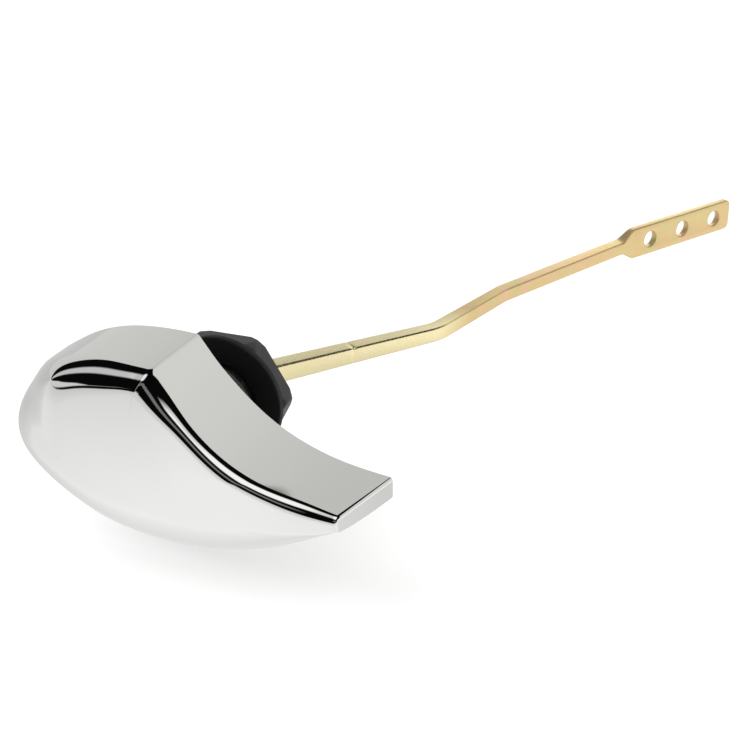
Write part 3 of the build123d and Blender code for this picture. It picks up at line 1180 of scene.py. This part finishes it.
@dataclass
class WallBushing:
    """Moulded bushing: flange, square shoulder, threaded shank, bore and stop lug."""

    finish: MouldedPlastic
    flange_radius: float = 13.0
    flange_thickness: float = 2.5
    square_side: float = 16.0
    square_length: float = 4.0
    square_corner: float = 1.5
    bore: float = 3.05
    core_radius: float = 7.25
    thread_radius: float = 7.97
    thread_pitch: float = 2.0
    shank_end: float = 16.0
    lug_width: float = 3.2
    lug_reach: tuple[float, float] = (7.2, 10.6)
    lug_end: float = -10.5
    lug_edge: float = 0.4
    lug_point: float = 0.3
    shank_chamfer: float = 0.8
    bore_chamfer: float = 0.3
    flange_edge: float = 0.35
    square_taper: float = 0.975
    overlap: float = 0.3
    core_overlap: float = 0.4
    # The thread's ridge: foot, crest and height for a ridge of 1, its height, and where it starts and stops
    ridge_shape: Place = (1.9, 0.5, 1.0)
    ridge: float = 1.0
    thread_margins: Point = (1.2, 1.4)
    thread_steps: int = 72

    def tree(self, material: bpy.types.Material) -> bpy.types.NodeTree:
        """Geometry tree that winds a thread ridge round the shank.

        Args:
            material: Material of the thread.

        Returns:
            The tree, with inputs for turns, radius, length, start and ridge.
        """
        tree, given = growing_tree("thread_ridge", "Base", ("Turns", "Radius", "Length", "Start", "Ridge"))
        helix = add_node(tree, "GeometryNodeCurveSpiral",
                         {"Resolution": self.thread_steps, "Rotations": given.outputs["Turns"],
                          "Start Radius": given.outputs["Radius"], "End Radius": given.outputs["Radius"],
                          "Height": given.outputs["Length"], "Reverse": True})
        level = add_node(tree, "GeometryNodeSetCurveNormal", {"Curve": helix.outputs["Curve"]}, mode="Z_UP")
        foot, crest, height = self.ridge_shape
        shape = add_node(tree, "GeometryNodeCurvePrimitiveQuadrilateral",
                         {"Bottom Width": foot, "Top Width": crest, "Height": height, "Offset": 0.0},
                         mode="TRAPEZOID")
        turn = add_node(tree, "GeometryNodeTransform",
                        {"Geometry": shape.outputs["Curve"], "Rotation": (0.0, 0.0, -math.pi / 2.0)})
        ridge = add_node(tree, "GeometryNodeCurveToMesh",
                         {"Curve": level.outputs["Curve"], "Profile Curve": turn.outputs["Geometry"],
                          "Scale": given.outputs["Ridge"], "Fill Caps": True})
        shift = add_node(tree, "ShaderNodeCombineXYZ", {"Y": given.outputs["Start"]})
        laid = add_node(tree, "GeometryNodeTransform",
                        {"Geometry": ridge.outputs["Mesh"], "Translation": shift.outputs["Vector"],
                         "Rotation": (-math.pi / 2.0, 0.0, 0.0)})
        end_tree(tree, laid.outputs["Geometry"], material)
        return tree

    def thread(self, material: bpy.types.Material) -> bpy.types.Mesh:
        """Build the thread ridge.

        Args:
            material: Material of the thread.

        Returns:
            Mesh of the ridge.
        """
        base = bpy.data.meshes.new("thread_base")
        base.from_pydata([(0.0, 0.0, 0.0)], [], [])
        before, after = self.thread_margins
        length = self.shank_end - self.square_length - before - after
        sizes = {"Turns": length / self.thread_pitch, "Radius": (self.thread_radius - self.ridge / 2.0) * MM,
                 "Length": length * MM, "Start": (self.square_length + before) * MM, "Ridge": self.ridge * MM}
        return grown(self.tree(material), base, sizes, "thread")

    def shoulder(self, skin: Skin) -> None:
        """Build the square shoulder as a ring about the shank.

        Args:
            skin: Skin that takes it.
        """
        square = rounded_box(self.square_side, self.square_side, self.square_corner, 9)
        inner = square / np.linalg.norm(square, axis=1)[:, None] * (self.core_radius - self.overlap)
        end = self.square_length
        rows = [np.column_stack((s[:, 0], np.full(len(s), y), s[:, 1]))
                for s, y in ((square, -self.overlap), (square, end - self.overlap),
                             (square * self.square_taper, end), (inner, end), (inner, -self.overlap))]
        skin.grid(skin.add(np.stack(rows)), round_rows=True, round_columns=True)

    def lug(self, skin: Skin) -> None:
        """Build the stop lug under the flange.

        Args:
            skin: Skin that takes it.
        """
        half, edge = self.lug_width / 2.0, self.lug_edge
        near, far = self.lug_reach
        sheets = []
        for y, in_by in ((edge - self.flange_thickness, 0.0), (self.lug_end + edge, 0.0),
                         (self.lug_end, self.lug_point)):
            side, foot = half - in_by, in_by - far
            sheets.append([(-side, y, -near), (side, y, -near), (side, y, foot), (side - edge, y, foot),
                           (edge - side, y, foot), (-side, y, foot + edge)])
        skin.tube(np.array(sheets))

    def mouldings(self) -> bpy.types.Mesh:
        """Build flange, shank core, shoulder and lug.

        Returns:
            Mesh of them all.
        """
        skin = Skin()
        turned(skin, ring_profile(self.bore, self.flange_radius, -self.flange_thickness, 0.0,
                                  self.flange_edge))
        core, end, chamfer = self.core_radius, self.shank_end, self.shank_chamfer
        start = -self.core_overlap
        turned(skin, [(self.bore, start), (core, start), (core, end - chamfer), (core - chamfer, end),
                      (self.bore + self.bore_chamfer, end), (self.bore, end - self.bore_chamfer)])
        self.shoulder(skin)
        self.lug(skin)
        return skin.mesh("bushing_mouldings")

    def build(self) -> bpy.types.Object:
        """Build and dress the bushing.

        Returns:
            The piece.
        """
        material = self.finish.material()
        mesh = join([self.mouldings(), self.thread(material)], "bushing")
        return settle(mesh, ("bushing",), Body.BUSHING, material)


@dataclass
class RubberWasher:
    """Flat rubber ring under the nut."""

    finish: MouldedPlastic
    inner: float = 8.3
    outer: float = 15.0
    start: float = 7.2
    end: float = 9.0
    edge: float = 0.45

    def build(self) -> bpy.types.Object:
        """Build and dress the washer.

        Returns:
            The piece.
        """
        skin = Skin()
        turned(skin, ring_profile(self.inner, self.outer, self.start, self.end, self.edge, 7), 128)
        return settle(skin.mesh("washer"), ("washer",), Body.WASHER, self.finish.material(),
                      40.0)


@dataclass
class HexNut:
    """Hexagon nut with its corners turned off on both faces."""

    finish: MouldedPlastic
    across_flats: float = 27.0
    start: float = 9.0
    end: float = 13.2
    turn: float = 3.6
    chamfer: float = 1.0
    bore: float = 8.08
    edge: float = 0.3
    corner_round: float = 0.8
    bore_chamfer: float = 0.5
    steps: int = 240

    def reach(self, angle: float) -> float:
        """Distance from the spindle to the hexagon's side, whose corners are slightly rounded.

        Args:
            angle: Degrees from a corner of the hexagon.

        Returns:
            The distance in millimetres.
        """
        flat, tip = self.across_flats / 2.0, self.corner_round
        off = abs((angle + 30.0) % 60.0 - 30.0)
        arc = 30.0 - math.degrees(math.atan((flat - tip) * math.tan(math.radians(30.0)) / flat))
        if off >= arc:
            return flat / math.cos(math.radians(30.0 - off))
        middle = (flat - tip) / math.cos(math.radians(30.0))
        swing = middle * math.sin(math.radians(off))
        return middle * math.cos(math.radians(off)) + math.sqrt(tip ** 2 - swing ** 2)

    def build(self) -> bpy.types.Object:
        """Build and dress the nut.

        Returns:
            The piece.
        """
        corner = self.across_flats / 2.0 / math.cos(math.radians(30.0))
        start, end, bore, chamfer = self.start, self.end, self.bore, self.bore_chamfer
        rows: list[np.ndarray] = []
        for angle in np.linspace(0.0, 360.0, self.steps, endpoint=False):
            reach = self.reach(angle)
            cut = max(0.0, self.chamfer - (corner - reach))
            face = min(reach, corner - self.chamfer)
            profile = eased([(bore, start + chamfer), (bore + chamfer, start), (face, start),
                             (reach, start + cut), (reach, end - cut), (face, end), (bore + chamfer, end),
                             (bore, end - chamfer)], self.edge)
            way = math.radians(angle + self.turn)
            out, along = profile.T
            rows.append(np.column_stack((out * math.cos(way), along, out * math.sin(way))))
        skin = Skin()
        skin.grid(skin.add(np.stack(rows)), round_rows=True, round_columns=True)
        return settle(skin.mesh("nut"), ("nut",), Body.NUT, self.finish.material(), 25.0)


@dataclass
class Studio:
    """Pale floor, white surroundings, a tent that only reflections see, lamps and the camera."""

    floor_z: float = -0.040
    floor_half: float = 40000.0
    floor_glow: float = 0.3
    floor_in_metal: float = 0.04
    light_level: float = 0.7
    camera_place: Place = (191.394, -306.946, 193.657)
    azimuth: float = 25.90
    elevation: float = 27.16
    lens: float = 86.5
    aim: Place = (0.0, 0.06, 0.0)
    # Radii of the black tent, its grey back and its strips, with the tent's ends and the back's angles
    tent_radius: float = 1250.0
    back_radius: float = 1200.0
    strip_radius: float = 1150.0
    tent_ends: Point = (-40000.0, 5000.0)
    tent_level: float = 0.003
    back_angles: Point = (-2.0, 46.5)
    back_tint: str = "#FFFFFC"
    panel_steps: int = 15
    # Levels along the tent's grey back and along its strips of light, in millimetres and degrees
    grey_levels: tuple[Point, ...] = (
        (-40000.0, 0.71), (-900.0, 0.71), (-700.0, 0.685), (-500.0, 0.64), (-340.0, 0.64), (-80.0, 0.67),
        (270.0, 0.73), (750.0, 0.8), (5000.0, 0.8))
    light_columns: tuple[Band, ...] = (
        (-40000.0, 82.0, 121.0, 0.65), (-900.0, 82.0, 121.0, 0.65), (-750.0, 82.0, 121.0, 0.75),
        (-600.0, 82.0, 121.0, 0.6), (-500.0, 82.0, 121.0, 0.5), (-420.0, 81.0, 122.0, 0.75),
        (-300.0, 80.0, 124.0, 1.05), (0.0, 80.0, 130.0, 1.15), (600.0, 84.0, 136.0, 1.15),
        (1150.0, 100.0, 125.0, 0.0))
    dim_columns: tuple[Band, ...] = (
        (-300.0, 148.0, 165.0, 0.0), (100.0, 148.0, 165.0, 0.2), (800.0, 148.0, 165.0, 0.2),
        (5000.0, 148.0, 165.0, 0.1))
    low_columns: tuple[Band, ...] = (
        (-40000.0, 150.0, 184.0, 0.75), (-3000.0, 154.0, 184.0, 0.75), (-2000.0, 162.0, 184.0, 0.75),
        (-1500.0, 169.0, 184.0, 0.75), (-1150.0, 177.0, 184.0, 0.75))
    # Levels of the cards on the floor: places across it, then for each place to the right a row of levels
    front_places: tuple[float, ...] = (
        -1250.0, -235.0, -195.0, -110.0, -76.0, -60.0, -45.0, -28.0, -12.0, 20.0)
    front_levels: tuple[tuple[float, ...], ...] = (
        (-40000.0, 0.7, 0.72, 0.74, 0.77, 0.8, 0.82, 0.83, 0.84, 0.78, 0.7),
        (-1100.0, 0.7, 0.72, 0.74, 0.77, 0.8, 0.82, 0.83, 0.84, 0.78, 0.7),
        (-700.0, 0.003, 0.4, 0.74, 0.77, 0.81, 0.83, 0.84, 0.84, 0.78, 0.7),
        (-450.0, 0.003, 0.003, 0.74, 0.77, 0.81, 0.83, 0.84, 0.84, 0.78, 0.7),
        (-200.0, 0.003, 0.003, 0.72, 0.77, 0.82, 0.85, 0.87, 0.86, 0.78, 0.7),
        (-60.0, 0.003, 0.003, 0.72, 0.78, 0.85, 0.93, 0.97, 0.98, 0.82, 0.7),
        (-20.0, 0.003, 0.003, 0.72, 0.79, 0.87, 0.99, 1.06, 1.08, 0.88, 0.7),
        (60.0, 0.003, 0.003, 0.72, 0.8, 0.89, 0.99, 1.06, 1.08, 0.88, 0.75),
        (90.0, 0.003, 0.003, 0.72, 0.8, 0.89, 0.99, 1.06, 1.08, 0.95, 0.85),
        (5000.0, 0.003, 0.003, 0.72, 0.8, 0.89, 0.99, 1.06, 1.08, 1.0, 1.0))
    back_places: tuple[float, ...] = (20.0, 35.0, 60.0, 90.0, 1250.0)
    back_levels: tuple[tuple[float, ...], ...] = (
        (-40000.0, 0.7, 0.66, 0.62, 0.62, 0.62), (-150.0, 0.7, 0.66, 0.62, 0.62, 0.62),
        (-60.0, 0.7, 0.68, 0.68, 0.68, 0.68), (40.0, 0.7, 0.7, 0.7, 0.71, 0.71),
        (60.0, 0.75, 0.7, 0.7, 0.8, 0.8), (90.0, 0.85, 0.78, 0.9, 1.0, 1.0),
        (112.0, 1.0, 1.05, 1.05, 1.05, 1.05), (5000.0, 1.0, 1.05, 1.05, 1.0, 1.0))
    # Card upright behind the arm: places to the right with their levels, its foot, head and distance
    arm_levels: tuple[Point, ...] = ((-100.0, 0.62), (-50.0, 0.7), (-25.0, 1.4), (0.0, 1.8), (60.0, 1.8))
    arm_card: tuple[float, float, float] = (-38.0, 118.0, 230.0)

    def floor(self) -> None:
        """Lay the floor, white to the camera with the object's shadow on it, and faint in the metal."""
        made, tree, shader = started("matt_white_floor", 0.0)
        shader.inputs["Roughness"].default_value = 0.9
        shader.inputs["Specular IOR Level"].default_value = 0.0
        shader.inputs["Base Color"].default_value = linear("#F2F2F2")
        shader.inputs["Emission Color"].default_value = linear("#FFFFFF")
        path = add_node(tree, "ShaderNodeLightPath")
        seen = reckoned(tree, "MAXIMUM", path.outputs["Is Camera Ray"], path.outputs["Is Transmission Ray"])
        mirrored = reckoned(tree, "MULTIPLY", path.outputs["Is Glossy Ray"], self.floor_in_metal)
        glow = reckoned(tree, "MULTIPLY_ADD", seen, self.floor_glow, mirrored)
        tree.links.new(glow, shader.inputs["Emission Strength"])
        skin = Skin()
        spots = np.linspace(-self.floor_half, self.floor_half, 17)
        x, y = np.meshgrid(spots, spots)
        skin.grid(skin.add(np.stack((x, y, np.full_like(x, self.floor_z / MM)), axis=-1)))
        mesh = skin.mesh("floor")
        if mesh.polygons[0].normal.z < 0.0:
            mesh.flip_normals()
        mesh.materials.append(made)
        piece = bpy.data.objects.new("floor", mesh)
        bpy.context.scene.collection.objects.link(piece)

    def reflector(self, name: str, points: np.ndarray, levels: np.ndarray, tint: str = "#FFFFFF") -> None:
        """Hang a sheet that only reflections see, each point of which glows at its own level.

        Args:
            name: Name of the sheet.
            points: Rows by columns of points in millimetres.
            levels: Level of each point.
            tint: Colour of the glow.
        """
        made = bpy.data.materials.new(name + "_cloth")
        made.use_nodes = True
        tree = made.node_tree
        tree.nodes.clear()
        level = add_node(tree, "ShaderNodeAttribute", attribute_name="inside").outputs["Fac"]
        glow = add_node(tree, "ShaderNodeEmission", {"Color": linear(tint), "Strength": level})
        add_node(tree, "ShaderNodeOutputMaterial", {"Surface": glow.outputs[0]})
        skin = Skin()
        skin.grid(skin.add(points, levels))
        mesh = skin.mesh(name)
        mesh.materials.append(made)
        piece = bpy.data.objects.new(name, mesh)
        bpy.context.scene.collection.objects.link(piece)
        piece.visible_camera = piece.visible_diffuse = piece.visible_shadow = False
        piece.visible_transmission = piece.visible_volume_scatter = False

    def panel(self, name: str, columns: Sequence[Band], radius: float, fade: float,
              tint: str = "#FFFFFF") -> None:
        """Hang a panel on the inside of the tent, a half tube about the object.

        Args:
            name: Name of the panel.
            columns: Station along the tent, first and last angle up from the back, and level.
            radius: Radius of the panel.
            fade: Degrees over which its two long edges fade.
            tint: Colour of the glow.
        """
        points, levels = [], []
        for x, first, last, level in columns:
            inner = np.linspace(first + fade, last - fade, self.panel_steps)
            turn = np.radians(np.concatenate(([first], inner, [last])))
            points.append(np.column_stack((np.full(len(turn), x), radius * np.cos(turn),
                                           radius * np.sin(turn) + self.floor_z / MM)))
            levels.append(np.concatenate(([0.0], np.full(self.panel_steps, level), [0.0])))
        self.reflector(name, np.stack(points), np.stack(levels), tint)

    def tent(self) -> None:
        """Build the black tent, its grey back, its strips of light and its cards."""
        black = [(x, 0.0, 180.0, self.tent_level) for x in self.tent_ends]
        back = [(x, *self.back_angles, level) for x, level in self.grey_levels]
        self.panel("black_tent", black, self.tent_radius, 0.1)
        self.panel("grey_back", back, self.back_radius, 1.0, self.back_tint)
        for name, columns, fade in (("light_strip", self.light_columns, 8.0),
                                    ("dim_strip", self.dim_columns, 3.0),
                                    ("low_strip", self.low_columns, 3.0)):
            self.panel(name, columns, self.strip_radius, fade)
        ground = self.floor_z / MM + 1.0
        for name, places, rows in (("front_card", self.front_places, self.front_levels),
                                   ("back_card", self.back_places, self.back_levels)):
            points = np.array([[(row[0], y, ground) for y in places] for row in rows])
            self.reflector(name, points, np.array([row[1:] for row in rows]))
        foot, head, y = self.arm_card
        points = np.array([[(x, y, z) for z in (foot, head)] for x, _ in self.arm_levels])
        self.reflector("arm_card", points, np.array([[level] * 2 for _, level in self.arm_levels]))

    def surroundings(self) -> None:
        """Light the scene from all round: white where it is seen, plainer where it only lights."""
        world = bpy.data.worlds.new("white_studio")
        bpy.context.scene.world = world
        world.use_nodes = True
        tree = world.node_tree
        shader = tree.nodes["Background"]
        shader.inputs["Color"].default_value = linear("#FFFFFF")
        path = add_node(tree, "ShaderNodeLightPath")
        seen = reckoned(tree, "MAXIMUM", path.outputs["Is Camera Ray"], path.outputs["Is Glossy Ray"])
        both = reckoned(tree, "MAXIMUM", seen, path.outputs["Is Transmission Ray"])
        tree.links.new(spread(tree, both, (self.light_level, 1.0)), shader.inputs["Strength"])

    def lamp(self, name: str, place: Place, watts: float, size: float) -> None:
        """Hang one soft square lamp that faces the object.

        Args:
            name: Name of the lamp.
            place: Its place in metres.
            watts: Its power.
            size: Side of its square in metres.
        """
        light = bpy.data.lights.new(name, "AREA")
        light.energy, light.size = watts, size
        lamp = bpy.data.objects.new(name, light)
        lamp.location = place
        lamp.rotation_euler = (Vector(self.aim) - Vector(place)).to_track_quat("-Z", "Y").to_euler()
        lamp.visible_glossy = False
        bpy.context.scene.collection.objects.link(lamp)

    def camera(self) -> None:
        """Set the camera at the photograph's place and view."""
        a, e = math.radians(self.azimuth), math.radians(self.elevation)
        right = Vector((math.cos(a), math.sin(a), 0.0))
        back = Vector((math.sin(a) * math.cos(e), -math.cos(a) * math.cos(e), math.sin(e)))
        up = back.cross(right)
        lens = bpy.data.cameras.new("camera")
        lens.lens, lens.sensor_width = self.lens, 36.0
        lens.clip_start = 0.01
        camera = bpy.data.objects.new("camera", lens)
        turn = Matrix((right, up, back)).transposed().to_4x4()
        camera.matrix_world = Matrix.Translation(Vector(self.camera_place) * MM) @ turn
        bpy.context.scene.collection.objects.link(camera)
        bpy.context.scene.camera = camera

    def build(self) -> None:
        """Set up the whole studio."""
        self.floor()
        self.tent()
        self.surroundings()
        self.lamp("key", (-0.5, -0.7, 1.1), 6.0, 0.9)
        self.lamp("fill", (0.9, -0.2, 0.8), 2.5, 0.9)
        self.camera()
        bpy.context.scene.view_settings.view_transform = "Standard"


def main() -> None:
    """Build the pieces, then the studio."""
    logging.basicConfig(level=logging.INFO, format="%(name)s: %(message)s")
    PaddleHandle(ChromePlate()).build()
    LiftArm(YellowZinc()).build()
    WallBushing(MouldedPlastic("black_moulded_acetal", "#0B0B0C", "#131414", 0.42)).build()
    RubberWasher(MouldedPlastic("black_moulded_rubber", "#0A0A0A", "#111110", 0.66)).build()
    HexNut(MouldedPlastic("dark_grey_moulded_nylon", "#262827", "#323433", 0.42)).build()
    Studio().build()


if __name__ == "__main__":
    main()
